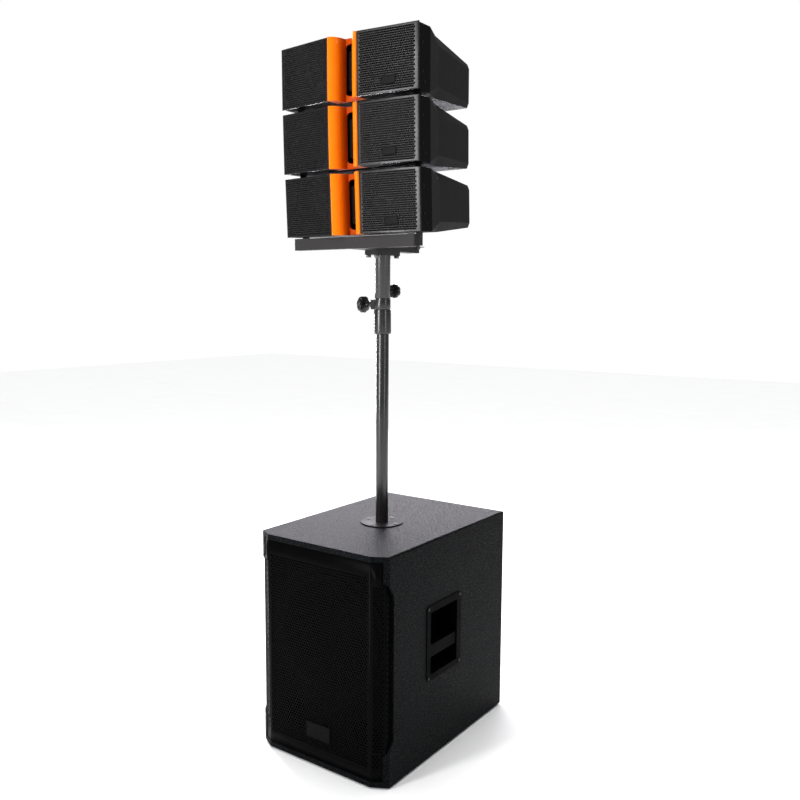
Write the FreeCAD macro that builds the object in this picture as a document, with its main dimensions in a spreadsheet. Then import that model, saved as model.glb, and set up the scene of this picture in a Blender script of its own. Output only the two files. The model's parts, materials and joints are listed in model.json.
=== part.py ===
import FreeCAD, Part
import math
import os
import re

import Sketcher

# A ground-stacked line array: three two-way array boxes on a T beam, carried by a telescopic
# pole that stands in the top socket of a powered subwoofer. Millimetres, +Z up, front faces -Y.
# The origin lies on the floor under the middle of the whole object's outline.

CELLS = [
    # subwoofer cabinet
    ("sub_width", 430), ("sub_depth", 600), ("sub_top", 604), ("foot_height", 4), ("panel", 15),
    ("corner_width", 43), ("corner_depth", 24), ("side_setback", 42), ("edge_round", 5),
    ("ear_top", 533), ("ear_bottom", 90), ("ear_slope", 34), ("cheek_end", 207),
    ("grille_gauge", 1.5), ("baffle_front", -250), ("baffle_thick", 18),
    ("badge_width", 80), ("badge_height", 42), ("badge_low", 77), ("badge_gauge", 1.5),
    # subwoofer drive unit and reflex ports
    ("woofer_height", 345), ("woofer_radius", 194), ("woofer_depth", 172), ("coil_radius", 50),
    ("port_radius", 50), ("port_wall", 4), ("port_length", 210), ("port_x", 125), ("port_height", 95),
    # side handles
    ("handle_front", -112), ("handle_back", 60), ("handle_low", 220), ("handle_high", 429),
    ("grip_front", -93), ("grip_back", 37), ("grip_low", 238), ("grip_high", 408),
    ("bar_low", 284), ("bar_high", 318), ("handle_depth", 72), ("handle_proud", 2), ("skin", 3),
    # amplifier on the back of the subwoofer
    ("amp_width", 260), ("amp_low", 110), ("amp_high", 490), ("amp_recess", 8), ("amp_gauge", 3),
    ("sink_width", 200), ("sink_low", 340), ("sink_high", 465), ("fin_count", 13),
    ("knob_x", -70), ("knob_height", 290), ("rocker_x", 75), ("rocker_height", 165),
    # pole
    ("pole_y", -20), ("socket_flange", 59.5), ("socket_bolts", 47), ("socket_bottom", 514),
    ("lower_radius", 17.5), ("lower_top", 1335), ("upper_radius", 21), ("tube_wall", 2.5),
    ("running_gap", 0.05), ("sleeve_radius", 23.75), ("collar_radius", 22),
    ("sleeve_bottom", 1135), ("sleeve_top", 1202), ("collar_top", 1232), ("spigot", 42),
    ("clamp_height", 1215), ("clamp_boss", 13), ("clamp_ear", 46), ("clamp_reach", 58),
    ("clamp_knob_radius", 22.5),
    ("lock_height", 1252), ("lock_reach", 47), ("lock_knob_radius", 19), ("shank_radius", 4),
    # T beam on the pole
    ("plate_bottom", 1348), ("plate_width", 42), ("plate_depth", 104), ("beam_bottom", 1360),
    ("beam_top", 1391), ("beam_half", 195), ("beam_front", -155), ("beam_depth", 20),
    ("spine_back", 126), ("spine_half", 21), ("beam_wall", 2.5),
    ("pin_rise", 16), ("bolt_head", 7),
    # one array box, in its own frame: y = 0 at its front side corners, z = 0 at mid height
    ("box_half", 220), ("box_tall", 155), ("box_depth", 340), ("box_wall", 10), ("nose", 18.4),
    ("horn_half", 47.5), ("frame_depth", 24), ("rigging_depth", 56), ("facet_depth", 122),
    ("side_inset", 3.5), ("facet_inset", 22), ("rear_inset", 65), ("facet_taper", 2),
    ("rear_taper", 20), ("driver_x", 130), ("driver_radius", 65), ("slot_half", 18),
    ("slot_tall", 128), ("throat_depth", 20),
    # rigging: front pivots and rear splay slot of each box
    ("pivot_x", 188), ("pivot_y", 42), ("pivot_z", -58), ("link_half", 12), ("link_gauge", 4),
    ("rear_pin_y", 276), ("rear_pin_z", -45), ("pin_radius", 4),
    ("splay_closed", 5.5), ("splay_open", 1.1), ("tilt_down", 2.5), ("tilt_up", 3.5),
    ("link_root", 20), ("rear_root", 38),
    # where the boxes hang: height, front edge and tilt of each
    ("low_height", 1471.9), ("low_front", -163.8), ("low_tilt", 2.55),
    ("mid_height", 1638.8), ("mid_front", -172.5), ("mid_tilt", 1.39),
    ("top_height", 1806.0), ("top_front", -176.1), ("top_tilt", 0.37),
]

ALIASES = {alias for alias, _ in CELLS}
BOXES = ("low", "mid", "top")
BOLT_SPOTS = [(x, y) for x in (-14, 14) for y in (-45, 45)]
UPRIGHT = FreeCAD.Rotation()
FACING_BACK = FreeCAD.Rotation(FreeCAD.Vector(1, 0, 0), -90)
FACING_RIGHT = FreeCAD.Rotation(FreeCAD.Vector(0, 1, 0), 90)
FACING_LEFT = FreeCAD.Rotation(FreeCAD.Vector(0, 1, 0), -90)
NORMAL_SIGN = {"XY_Plane": 1, "XZ_Plane": -1, "YZ_Plane": 1}

doc = FreeCAD.newDocument("line_array")
sheet = doc.addObject("Spreadsheet::Sheet", "dims")
for row, (cell_alias, cell_value) in enumerate(CELLS, start=1):
    sheet.set("A%d" % row, cell_alias)
    sheet.set("B%d" % row, str(cell_value))
    sheet.setAlias("B%d" % row, cell_alias)
doc.recompute()
nodes = []


# ---- formulas, placements and drawing ----

def linked(formula):
    """Turn each alias in a formula into a reference to its cell."""
    def reference(match):
        word = match.group(0)
        return "dims." + word if word in ALIASES else word
    return re.sub(r"[a-z][a-z0-9_]*", reference, str(formula))


def number(formula):
    """Value of a formula over the sheet's cells."""
    if isinstance(formula, (int, float)):
        return float(formula)
    return float(sheet.evalExpression(linked(formula)))


def vector(x, y, z):
    return FreeCAD.Vector(number(x), number(y), number(z))


def placed(x, y, z, rotation=UPRIGHT):
    return FreeCAD.Placement(vector(x, y, z), rotation)


def box_frame(box):
    """Frame of an array box: its front edge line, its height and its tilt about +X."""
    tilt = FreeCAD.Rotation(FreeCAD.Vector(1, 0, 0), number(box + "_tilt"))
    return placed(0, box + "_front", box + "_height", tilt)


def node(item, name, placement=None):
    """Name an object as a finished sub-part and put it in its place."""
    item.Label = name
    if placement is not None:
        item.Placement = placement
    nodes.append(item)
    return item


def constrain(sketch, kind, geometry, point, formula):
    """Tie one coordinate of a sketch point to a formula."""
    if number(formula) == 0:
        axis = -2 if kind == "DistanceX" else -1
        sketch.addConstraint(Sketcher.Constraint("PointOnObject", geometry, point, axis))
        return
    index = sketch.addConstraint(Sketcher.Constraint(kind, -1, 1, geometry, point, number(formula)))
    sketch.setExpression("Constraints[%d]" % index, linked(formula))


def draw_outline(sketch, outline):
    """Draw a closed outline whose corners are pairs of formulas."""
    corners = [vector(u, v, 0) for u, v in outline]
    first = sketch.GeometryCount
    for start, end in zip(corners, corners[1:] + corners[:1]):
        sketch.addGeometry(Part.LineSegment(start, end), False)
    for i in range(len(corners)):
        following = first + (i + 1) % len(corners)
        sketch.addConstraint(Sketcher.Constraint("Coincident", first + i, 2, following, 1))
    for i, (u, v) in enumerate(outline):
        constrain(sketch, "DistanceX", first + i, 1, u)
        constrain(sketch, "DistanceY", first + i, 1, v)


def draw_circle(sketch, u, v, radius):
    circle = Part.Circle(vector(u, v, 0), FreeCAD.Vector(0, 0, 1), number(radius))
    geometry = sketch.addGeometry(circle, False)
    constrain(sketch, "DistanceX", geometry, 3, u)
    constrain(sketch, "DistanceY", geometry, 3, v)
    index = sketch.addConstraint(Sketcher.Constraint("Radius", geometry, number(radius)))
    sketch.setExpression("Constraints[%d]" % index, linked(radius))


def rectangle(u_low, u_high, v_low, v_high):
    return [(u_low, v_low), (u_high, v_low), (u_high, v_high), (u_low, v_high)]


def both_sides(half):
    """Complete an outline that is the same left and right from its right half."""
    return half + [("-(%s)" % u, v) for u, v in reversed(half)]


def new_sketch(body, plane, offset, outlines=(), circles=()):
    """Sketch on one of the body's own planes, moved along the plane's normal."""
    sketch = body.newObject("Sketcher::SketchObject", body.Name + "_sketch")
    support = [f for f in body.Origin.OriginFeatures if f.Role == plane][0]
    sketch.AttachmentSupport = [(support, "")]
    sketch.MapMode = "FlatFace"
    sketch.setExpression("AttachmentOffset.Base.z", linked(offset))
    for outline in outlines:
        draw_outline(sketch, outline)
    for u, v, radius in circles:
        draw_circle(sketch, u, v, radius)
    return sketch


# ---- PartDesign bodies ----

def new_body(name):
    return doc.addObject("PartDesign::Body", name + "_body")


def pad(body, plane, low, high, outlines=(), circles=()):
    """Extrude a sketch from low to high along the plane's own axis."""
    start = low if NORMAL_SIGN[plane] > 0 else "-(%s)" % high
    feature = body.newObject("PartDesign::Pad", body.Name + "_pad")
    feature.Profile = new_sketch(body, plane, start, outlines, circles)
    feature.setExpression("Length", linked("(%s) - (%s)" % (high, low)))
    body.Tip = feature
    return feature


def pocket(body, plane, low, high, outlines=(), circles=()):
    """Cut a sketch out of the body from low to high along the plane's own axis."""
    start = high if NORMAL_SIGN[plane] > 0 else "-(%s)" % low
    feature = body.newObject("PartDesign::Pocket", body.Name + "_pocket")
    feature.Profile = new_sketch(body, plane, start, outlines, circles)
    feature.setExpression("Length", linked("(%s) - (%s)" % (high, low)))
    body.Tip = feature
    return feature


def around(body, feature, count):
    """Repeat a feature evenly round the body's own Z axis."""
    pattern = body.newObject("PartDesign::PolarPattern", body.Name + "_around")
    pattern.Originals = [feature]
    axis = [f for f in body.Origin.OriginFeatures if f.Role == "Z_Axis"][0]
    pattern.Axis = (axis, [""])
    pattern.Angle = 360
    pattern.Occurrences = count
    body.Tip = pattern
    return pattern


def rounded(body, radius, wanted):
    """Round the straight edges whose start and end points pass the test."""
    doc.recompute()
    base = body.Tip
    names = []
    for index, edge in enumerate(base.Shape.Edges, start=1):
        ends = [vertex.Point for vertex in edge.Vertexes]
        if len(ends) == 2 and wanted(*ends):
            names.append("Edge%d" % index)
    feature = body.newObject("PartDesign::Fillet", body.Name + "_fillet")
    feature.Base = (base, names)
    feature.setExpression("Radius", linked(radius))
    body.Tip = feature
    return feature


def turned(name, profile):
    """Body of revolution about its own Z axis, from corners (radius, height)."""
    body = new_body(name)
    feature = body.newObject("PartDesign::Revolution", body.Name + "_turn")
    sketch = new_sketch(body, "XZ_Plane", 0, [profile])
    feature.Profile = sketch
    feature.ReferenceAxis = (sketch, ["V_Axis"])
    feature.Angle = 360
    body.Tip = feature
    return body


def extruded(name, plane, low, high, outlines=(), circles=()):
    body = new_body(name)
    pad(body, plane, low, high, outlines, circles)
    return body


# ---- Part primitives and booleans ----

def slab(name, x, y, z):
    """Box between a low and a high formula on each axis."""
    item = doc.addObject("Part::Box", name)
    for size, (low, high) in zip(("Length", "Width", "Height"), (x, y, z)):
        item.setExpression(size, linked("(%s) - (%s)" % (high, low)))
    item.Placement = placed(x[0], y[0], z[0])
    return item


def rod(name, x, y, z, radius, length, rotation=UPRIGHT):
    """Cylinder that starts at a point and runs along the turned Z axis."""
    item = doc.addObject("Part::Cylinder", name)
    item.setExpression("Radius", linked(radius))
    item.setExpression("Height", linked(length))
    item.Placement = placed(x, y, z, rotation)
    return item


def cut(name, base, *tools):
    item = doc.addObject("Part::Cut", name)
    item.Base = base
    item.Tool = tools[0] if len(tools) == 1 else fused(name + "_tools", *tools)
    return item


def fused(name, *items):
    item = doc.addObject("Part::MultiFuse", name)
    item.Shapes = list(items)
    return item


def group(name, *items):
    """Several separate solids that share one sub-part."""
    item = doc.addObject("Part::Compound", name)
    item.Links = list(items)
    return item


def mirrored(item):
    """The same piece on the other side of the YZ plane."""
    twin = doc.addObject("Part::Mirroring", item.Name + "_twin")
    twin.Source = item
    twin.Base = FreeCAD.Vector(0, 0, 0)
    twin.Normal = FreeCAD.Vector(1, 0, 0)
    return twin


def pair(name, *items):
    """The pieces and their mirror images, as one group of separate solids."""
    return group(name, *[piece for item in items for piece in (item, mirrored(item))])


# ---- subwoofer ----

def sub_cabinet():
    """Plywood case: hollow from the front, ears on the sides, cutouts for what is fitted to it."""
    half = "sub_width / 2"
    front = "-sub_depth / 2"
    inner = "sub_width / 2 - panel"
    body = extruded("sub_cabinet", "XY_Plane", "foot_height", "sub_top", [both_sides([
        ("sub_width / 2 - corner_width", front), (half, front + " + corner_depth"),
        (half, "sub_depth / 2")])])
    pocket(body, "XZ_Plane", front, "sub_depth / 2 - panel",
           [rectangle("-(%s)" % inner, inner, "foot_height + panel", "sub_top - panel")])
    nose = front + " + corner_depth - 2"
    setback = front + " + side_setback"
    side = [(front + " - 1", "ear_bottom - 12"), (nose, "ear_bottom"),
            (setback, "ear_bottom + ear_slope"), (setback, "ear_top - ear_slope"),
            (nose, "ear_top"), (front + " - 1", "ear_top + 12")]
    pocket(body, "YZ_Plane", "-" + half, half, [side])
    bends = [number(z) for z in ("ear_bottom", "ear_bottom + ear_slope", "ear_top - ear_slope", "ear_top")]
    rounded(body, 16, lambda p, q: abs(p.z - q.z) < 0.1 and p.y < -200
            and any(abs(p.z - z) < 0.1 for z in bends))
    pocket(body, "XZ_Plane", "sub_depth / 2 - panel", "sub_depth / 2", [rectangle(
        "-amp_width / 2 + panel", "amp_width / 2 - panel", "amp_low + panel", "amp_high - panel")])
    pocket(body, "XZ_Plane", "sub_depth / 2 - amp_recess", "sub_depth / 2", [rectangle(
        "-amp_width / 2 - 1", "amp_width / 2 + 1", "amp_low - 1", "amp_high + 1")])
    pocket(body, "YZ_Plane", "-" + half, half, [rectangle(
        "grip_front - skin", "grip_back + skin", "grip_low - skin", "grip_high + skin")])
    pocket(body, "XY_Plane", "sub_top - panel", "sub_top",
           circles=[(0, "pole_y", "lower_radius + running_gap + skin + 0.5")])
    top = number("sub_top")
    outer = number("sub_width / 2")
    back = number("sub_depth / 2")
    rounded(body, "edge_round", lambda p, q: abs(p.z - top) + abs(q.z - top) < 0.01 and (
        abs(abs(p.x + q.x) / 2 - outer) < 0.01 or abs((p.y + q.y) / 2 - back) < 0.01))
    return node(body, "sub_cabinet")


def sub_baffle():
    """Front board that carries the drive unit and both ports."""
    inner = "sub_width / 2 - panel"
    body = extruded("sub_baffle", "XZ_Plane", "baffle_front", "baffle_front + baffle_thick",
                    [rectangle("-(%s)" % inner, inner, "foot_height + panel", "sub_top - panel")])
    pocket(body, "XZ_Plane", "baffle_front", "baffle_front + baffle_thick",
           circles=[(0, "woofer_height", "woofer_radius - 16"),
                    ("port_x", "port_height", "port_radius"),
                    ("-port_x", "port_height", "port_radius")])
    return node(body, "sub_baffle")


def sub_grille():
    """Bent sheet: flat face, slanted cheeks, and tails that turn back between the ears of the case."""
    front = "-sub_depth / 2 + badge_gauge"
    flat = "sub_width / 2 - corner_width"
    tail = "-sub_depth / 2 + side_setback - 1"
    bend = front + " + corner_depth * (cheek_end - (%s)) / corner_width" % flat
    outline = both_sides([
        (flat, front), ("cheek_end", bend), ("cheek_end", tail), ("cheek_end - grille_gauge", tail),
        ("cheek_end - grille_gauge", bend + " + 1"), (flat + " - 0.4", front + " + grille_gauge")])
    body = extruded("sub_grille", "XY_Plane", "foot_height + panel + 0.5", "sub_top - panel - 0.5", [outline])
    notch = front + " + 15"
    bottom = ("foot_height + panel", "ear_bottom + 2", "ear_bottom + ear_slope + 2")
    top = ("sub_top - panel", "ear_top - 2", "ear_top - ear_slope - 2")
    for outer, inner, foot in (bottom, top):
        corner = [(notch, outer), (notch, inner), (bend + " + 1", inner), (tail + " + 1", foot),
                  (tail + " + 1", outer)]
        pocket(body, "YZ_Plane", "-sub_width / 2", "sub_width / 2", [corner])
    return node(body, "sub_grille")


def sub_badge():
    """Blank plate on the lower middle of the grille."""
    body = extruded("sub_badge", "XZ_Plane", "-sub_depth / 2", "-sub_depth / 2 + badge_gauge", [rectangle(
        "-badge_width / 2", "badge_width / 2", "badge_low", "badge_low + badge_height")])
    return node(body, "sub_badge")


def sub_woofer():
    """Drive unit: basket with windows, ring magnet with its coil gap, and the moving cone."""
    basket = turned("sub_woofer_frame", [
        ("woofer_radius - 16", 0), ("woofer_radius", 0), ("woofer_radius", -6), ("woofer_radius - 22", -6),
        ("woofer_radius - 22", 10), ("coil_radius + 44", 120),
        ("coil_radius + 4", 120), ("coil_radius + 4", 126), ("coil_radius + 48", 126),
        ("woofer_radius - 16", 14)])
    window = pocket(basket, "YZ_Plane", 60, "woofer_radius", [rectangle(-34, 34, 24, 104)])
    around(basket, window, 8)
    magnet = turned("sub_woofer_magnet", [
        ("coil_radius + 3", 126), ("coil_radius + 46", 126), ("coil_radius + 46", "woofer_depth"),
        (0, "woofer_depth"), (0, 132), ("coil_radius - 3", 132),
        ("coil_radius - 3", "woofer_depth - 8"), ("coil_radius + 3", "woofer_depth - 8")])
    cone = turned("sub_woofer_cone", [
        ("woofer_radius - 23", -6), ("woofer_radius - 27", -11), ("woofer_radius - 36", -13),
        ("woofer_radius - 44", -11), ("woofer_radius - 48", -5), ("coil_radius + 8", 78),
        (0, 56), (0, 58), ("coil_radius", 81), ("coil_radius", 146), ("coil_radius + 1.2", 146),
        ("coil_radius + 1.2", 86), ("woofer_radius - 48", 0), ("woofer_radius - 42", -8),
        ("woofer_radius - 36", -10.5), ("woofer_radius - 28", -9), ("woofer_radius - 25", -6)])
    place = placed(0, "baffle_front", "woofer_height", FACING_BACK)
    for body, name in ((basket, "sub_woofer_frame"), (magnet, "sub_woofer_magnet"),
                       (cone, "sub_woofer_cone")):
        node(body, name, place)


def sub_ports():
    """Two reflex tubes behind the baffle."""
    tube = cut("port_tube", rod("port_outer", "port_x", "baffle_front", "port_height",
                                "port_radius", "port_length", FACING_BACK),
               rod("port_inner", "port_x", "baffle_front", "port_height",
                   "port_radius - port_wall", "port_length", FACING_BACK))
    return node(pair("sub_ports", tube), "sub_ports")


def side_handle():
    """Moulded cup with a flange and a bar across its mouth."""
    face = "sub_width / 2"
    body = extruded("handle_right", "YZ_Plane", face, face + " + handle_proud", [rectangle(
        "handle_front", "handle_back", "handle_low", "handle_high")])
    low, high = number("handle_low"), number("handle_high")
    front, back = number("handle_front"), number("handle_back")
    rounded(body, 14, lambda p, q: abs(p.y - q.y) + abs(p.z - q.z) < 0.01
            and (abs(p.y - front) < 0.01 or abs(p.y - back) < 0.01)
            and (abs(p.z - low) < 0.01 or abs(p.z - high) < 0.01))
    pad(body, "YZ_Plane", face + " - handle_depth", face, [rectangle(
        "grip_front - skin", "grip_back + skin", "grip_low - skin", "grip_high + skin")])
    pocket(body, "YZ_Plane", face + " - handle_depth + skin", face + " + handle_proud", [rectangle(
        "grip_front", "grip_back", "grip_low", "grip_high")])
    pad(body, "YZ_Plane", face + " - 22", face + " - 1", [rectangle(
        "grip_front", "grip_back", "bar_low", "bar_high")])
    node(body, "handle_right")
    node(mirrored(body), "handle_left")


def pole_socket():
    """Round flange on the top panel with a blind tube below it for the pole."""
    bore = "lower_radius + running_gap"
    body = turned("pole_socket", [
        (bore, "sub_top + 3"), ("socket_flange", "sub_top + 3"), ("socket_flange", "sub_top"),
        (bore + " + skin", "sub_top"), (bore + " + skin", "socket_bottom - skin"),
        (0, "socket_bottom - skin"), (0, "socket_bottom"), (bore, "socket_bottom")])
    hole = pocket(body, "XY_Plane", "sub_top", "sub_top + 3", circles=[("socket_bolts", 0, 3)])
    around(body, hole, 4)
    return node(body, "pole_socket", placed(0, "pole_y", 0))


def sub_feet():
    front_foot = rod("foot_front", 170, -245, 0, 20, "foot_height")
    rear_foot = rod("foot_rear", 170, 262, 0, 20, "foot_height")
    return node(pair("sub_feet", front_foot, rear_foot), "sub_feet")


def amp_plate():
    """Control panel let into the back, with a window for the cooling fins."""
    back = "sub_depth / 2 - amp_recess"
    body = extruded("amp_plate", "XZ_Plane", back, back + " + amp_gauge", [rectangle(
        "-amp_width / 2", "amp_width / 2", "amp_low", "amp_high")])
    pocket(body, "XZ_Plane", back, back + " + amp_gauge",
           [rectangle("-sink_width / 2", "sink_width / 2", "sink_low", "sink_high"),
            rectangle("rocker_x - 8.5", "rocker_x + 8.5", "rocker_height - 12", "rocker_height + 12"),
            rectangle(62, 98, 198, 226)],
           [("knob_x", "knob_height", 3.05), (-90, 220, 12), (-50, 220, 12), (-90, 160, 12), (-50, 160, 12)])
    return node(body, "amp_plate")


def amp_heatsink():
    """Aluminium plate with upright fins that show through the panel's window."""
    back = "sub_depth / 2 - amp_recess"
    body = extruded("amp_heatsink", "XZ_Plane", back + " - 40", back + " - 34", [rectangle(
        "-sink_width / 2 - 10", "sink_width / 2 + 10", "sink_low - 6", "sink_high + 6")])
    fin = pad(body, "XZ_Plane", back + " - 34", back + " + 2", [rectangle(
        "-sink_width / 2 + 6", "-sink_width / 2 + 9", "sink_low + 3", "sink_high - 3")])
    pattern = body.newObject("PartDesign::LinearPattern", "heatsink_fins")
    pattern.Originals = [fin]
    pattern.Direction = ([f for f in body.Origin.OriginFeatures if f.Role == "X_Axis"][0], [""])
    pattern.setExpression("Length", linked("sink_width - 15"))
    pattern.setExpression("Occurrences", linked("fin_count"))
    body.Tip = pattern
    return node(body, "amp_heatsink")


def amp_electronics():
    """Circuit board on pillars behind the panel, and the mains transformer beside it."""
    board = slab("amp_board", (-110, 30), ("sub_depth / 2 - 62", "sub_depth / 2 - 60"), (135, 325))
    depth = ("sub_depth / 2 - 60", "sub_depth / 2 - amp_recess")
    posts = [slab("amp_post_%d" % i, (x, x + 8), depth, (z, z + 8))
             for i, (x, z) in enumerate(((-106, 138), (18, 138), (-106, 313), (18, 313)))]
    transformer = slab("amp_core", (44, 108), ("sub_depth / 2 - 90", "sub_depth / 2 - 40"), (240, 320))
    whole_board = fused("board_on_posts", board, *posts)
    return node(group("amp_electronics", whole_board, transformer), "amp_electronics")


def amp_sockets():
    """Mains inlet, two line inputs and two loudspeaker outputs, each a shell with an open mouth."""
    back = "sub_depth / 2 - amp_recess"
    shells = []
    for i, (x, z) in enumerate(((-90, 220), (-50, 220), (-90, 160), (-50, 160))):
        shell = rod("socket_%d" % i, x, back + " - 24", z, 12, 29, FACING_BACK)
        mouth = rod("mouth_%d" % i, x, back + " - 14", z, 9, 19, FACING_BACK)
        shells.append(cut("line_socket_%d" % i, shell, mouth))
    inlet = cut("mains_inlet", slab("inlet_shell", (62, 98), (back + " - 24", back + " + 5"), (198, 226)),
                slab("inlet_mouth", (66, 94), (back + " - 16", back + " + 5"), (202, 222)))
    return node(group("amp_sockets", inlet, *shells), "amp_sockets")


def level_knob():
    """Round control knob with a pointer ridge and its shaft."""
    body = turned("level_knob", [(0, -20), (3, -20), (3, 4), (10, 4), (9, 8), (0, 8)])
    pocket(body, "XZ_Plane", -1, 1, [rectangle(4, 12, 7, 9)])
    place = placed("knob_x", "sub_depth / 2 - amp_recess", "knob_height", FACING_BACK)
    return node(body, "level_knob", place)


def power_rocker():
    """Rocker switch, stored in its lower position."""
    body = extruded("power_rocker", "YZ_Plane", -8, 8, [[
        (3, -10.5), (5, -10), (3.4, 0), (5, 10), (3, 10.5), (-4, 8), (-4, -8)]])
    tipped = FreeCAD.Rotation(FreeCAD.Vector(1, 0, 0), -6)
    place = placed("rocker_x", "sub_depth / 2 - amp_recess", "rocker_height", tipped)
    return node(body, "power_rocker", place)


def sub_screws():
    """Panel screws at the back, flange screws on top, and screws in the handle flanges."""
    back = "sub_depth / 2 - amp_recess + amp_gauge"
    side = "amp_width / 2 - 7"
    backs = [rod("amp_screw_%d" % i, side, back, z, 4, 2, FACING_BACK)
             for i, z in enumerate(("amp_low + 8", "(amp_low + amp_high) / 2", "amp_high - 8"))]
    flange = [rod("flange_screw_%d" % i, "socket_bolts * %d" % dx, "pole_y + socket_bolts * %d" % dy,
                  "sub_top + 3", 5, 1.5) for i, (dx, dy) in enumerate(((1, 0), (0, 1), (-1, 0), (0, -1)))]
    corners = [(y, z) for y in ("handle_front + 9", "handle_back - 9")
               for z in ("handle_low + 9", "handle_high - 9")]
    sides = [rod("handle_screw_%d" % i, "sub_width / 2 + handle_proud", y, z, 4, 1.2, FACING_RIGHT)
             for i, (y, z) in enumerate(corners)]
    both = [piece for item in backs + sides for piece in (item, mirrored(item))]
    return node(group("sub_screws", *(both + flange)), "sub_screws")


# ---- pole and T beam ----

def lower_pole():
    """Tube that stands in the socket and runs up inside the upper tube."""
    outer = rod("lower_outer", 0, "pole_y", "socket_bottom", "lower_radius", "lower_top - socket_bottom")
    inner = rod("lower_bore", 0, "pole_y", "socket_bottom", "lower_radius - tube_wall",
                "lower_top - socket_bottom")
    return node(cut("lower_pole", outer, inner), "lower_pole")


def upper_pole():
    """Wider tube that slides over the lower one, with the lock knob's boss and the welded top plate."""
    tall = "plate_bottom - collar_top"
    outer = rod("upper_outer", 0, "pole_y", "collar_top", "upper_radius", tall)
    boss = rod("lock_boss", 0, "pole_y", "lock_height", 8, "upper_radius + 8", FACING_BACK)
    bore = rod("upper_bore", 0, "pole_y", "collar_top", "upper_radius - tube_wall", tall)
    hole = rod("lock_hole", 0, "pole_y", "lock_height", "shank_radius + running_gap", 40, FACING_BACK)
    plate = slab("top_plate", ("-plate_width / 2", "plate_width / 2"),
                 ("pole_y - plate_depth / 2", "pole_y + plate_depth / 2"), ("plate_bottom", "beam_bottom"))
    bolt_holes = [rod("plate_hole_%d" % i, x, "pole_y + %d" % y, "plate_bottom", "shank_radius",
                      "beam_bottom - plate_bottom") for i, (x, y) in enumerate(BOLT_SPOTS)]
    solid = fused("upper_solid", outer, boss, plate)
    return node(cut("upper_pole", solid, bore, hole, *bolt_holes), "upper_pole")


def pole_sleeve():
    """Slightly tapered guide bush at the foot of the upper tube."""
    bore = "lower_radius + running_gap"
    body = turned("pole_sleeve", [
        (bore, "sleeve_bottom"), ("sleeve_radius - 1", "sleeve_bottom"),
        ("sleeve_radius", "sleeve_bottom + 4"), ("sleeve_radius - 0.6", "sleeve_top - 2"),
        ("sleeve_radius - 1.5", "sleeve_top"), (bore, "sleeve_top")])
    return node(body, "pole_sleeve", placed(0, "pole_y", 0))


def clamp_collar():
    """Collar between sleeve and upper tube, with a spigot inside the tube and an ear for the knob."""
    bore = "lower_radius + running_gap"
    ring = rod("collar_ring", 0, "pole_y", "sleeve_top", "collar_radius", "collar_top - sleeve_top")
    spigot = rod("collar_spigot", 0, "pole_y", "collar_top", "upper_radius - tube_wall", "spigot")
    ear = rod("collar_ear", 0, "pole_y", "clamp_height", 9, "clamp_ear", FACING_LEFT)
    boss = slab("collar_boss", ("12 - clamp_ear", "2 - collar_radius"), ("pole_y - 9", "pole_y + 9"),
                ("clamp_height - clamp_boss", "clamp_height + clamp_boss"))
    hollow = rod("collar_bore", 0, "pole_y", "sleeve_top", bore, "collar_top - sleeve_top + spigot")
    shank = "shank_radius + running_gap"
    screw = rod("collar_screw_hole", 0, "pole_y", "clamp_height", shank, "clamp_ear + 1", FACING_LEFT)
    lock = rod("collar_lock_hole", 0, "pole_y", "lock_height", shank, "2 * collar_radius", FACING_BACK)
    solid = fused("collar_solid", ring, spigot, ear, boss)
    return node(cut("clamp_collar", solid, hollow, screw, lock), "clamp_collar")


def star_knob(name, radius, thick, reach, lobes):
    """Hand knob with scalloped grip, turned about +Z, and the screw shank that leads to it."""
    body = turned(name, [
        (0, "lower_radius + 1"), ("shank_radius", "lower_radius + 1"), ("shank_radius", reach),
        (9, reach), (radius, reach + " + 3"), (radius, reach + " + %g" % (thick - 2)),
        (radius + " - 3", reach + " + %g" % thick), (0, reach + " + %g" % thick)])
    scallop = pocket(body, "XY_Plane", reach, reach + " + %g" % (thick + 1),
                     circles=[("(%s) * 1.12" % radius, 0, "(%s) * 0.25" % radius)])
    around(body, scallop, lobes)
    return body


def knobs():
    clamp = star_knob("clamp_knob", "clamp_knob_radius", 16, "clamp_reach", 7)
    node(clamp, "clamp_knob", placed(0, "pole_y", "clamp_height", FACING_LEFT))
    lock = star_knob("lock_knob", "lock_knob_radius", 14, "lock_reach", 7)
    node(lock, "lock_knob", placed(0, "pole_y", "lock_height", FACING_BACK))


def plate_bolts():
    """Round-headed bolts up through the plate into the spine."""
    bolts = []
    for i, (x, y) in enumerate(BOLT_SPOTS):
        head = rod("bolt_head_%d" % i, x, "pole_y + %d" % y, "plate_bottom - bolt_head", "bolt_head",
                   "bolt_head")
        shank = rod("bolt_shank_%d" % i, x, "pole_y + %d" % y, "plate_bottom", "shank_radius",
                    "beam_bottom + beam_wall - plate_bottom")
        bolts.append(fused("plate_bolt_%d" % i, head, shank))
    return node(group("plate_bolts", *bolts), "plate_bolts")


def pivot_lug(name):
    """Upright lug behind the cross bar that reaches up into the low box."""
    frame = box_frame("low")
    pivot = frame.multVec(vector("pivot_x", "pivot_y", "pivot_z"))
    width = number("link_half")
    gauge = number("link_gauge") / 2
    x = (pivot.x - gauge, pivot.x + gauge)
    foot = slab(name + "_foot", x, ("beam_front + beam_depth", pivot.y + width),
                ("beam_bottom + 4", "beam_top"))
    stem = slab(name + "_stem", x, (pivot.y - width, pivot.y + width), ("beam_top - 1", pivot.z))
    end = rod(name + "_end", x[0], pivot.y, pivot.z, width, 2 * gauge, FACING_RIGHT)
    eye = rod(name + "_eye", x[0] - 1, pivot.y, pivot.z, "pin_radius + running_gap", 2 * gauge + 2,
              FACING_RIGHT)
    return cut(name, fused(name + "_solid", foot, stem, end), eye)


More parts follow.
